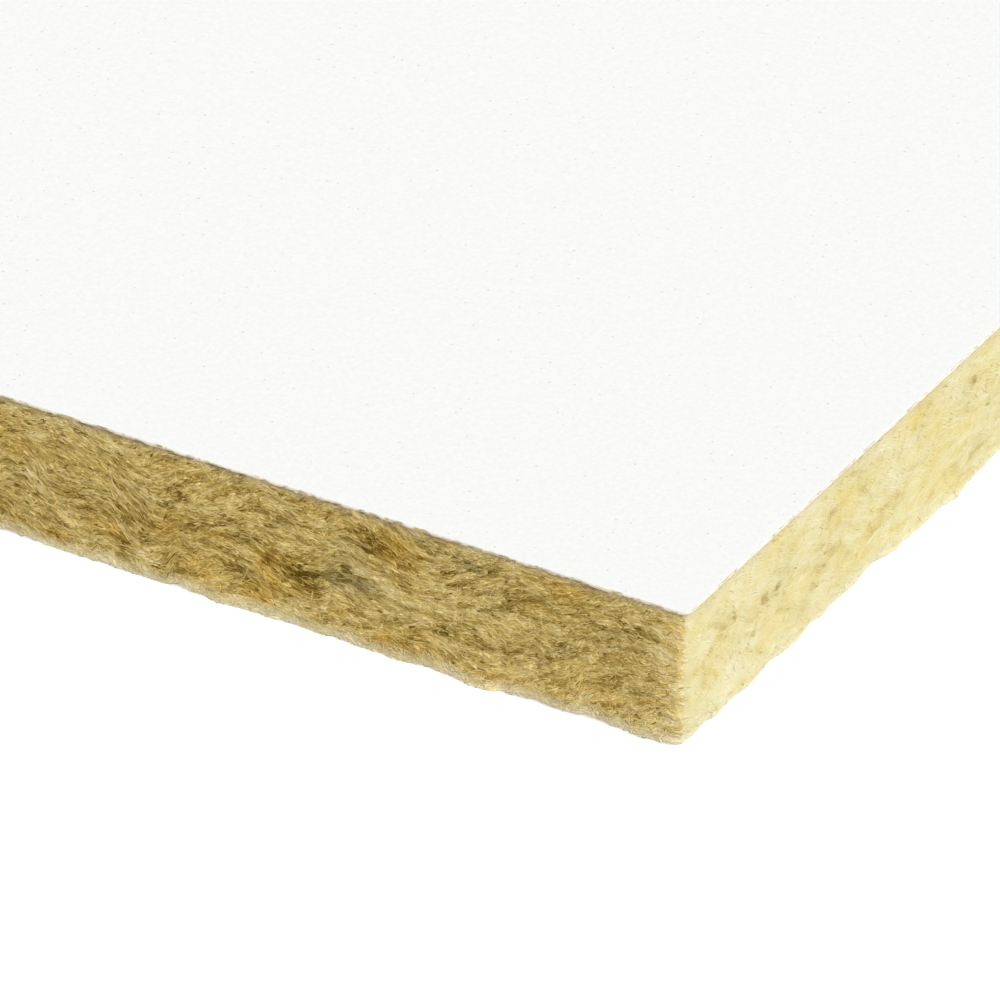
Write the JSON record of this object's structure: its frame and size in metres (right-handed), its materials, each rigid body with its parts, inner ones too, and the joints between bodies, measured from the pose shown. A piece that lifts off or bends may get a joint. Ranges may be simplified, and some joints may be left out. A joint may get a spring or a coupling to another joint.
{
  "type": "suspended ceiling tile",
  "caption": "Square lay-in ceiling tile: a stone wool slab with bare sawn edges and a white painted fleece over its visible face.",
  "frame": {"origin": "centre of the rear face, which the tile lies on", "axes": "+Z out of the white visible face, +X and +Y along the two sides of the square"},
  "size_m": [0.595, 0.595, 0.02],
  "materials": {
    "stone_wool": "matte",
    "painted_fleece": "matte"
  },
  "bodies": {
    "root": {"wool_slab": "stone_wool", "facing_fleece": "painted_fleece"}
  },
  "joints": []
}
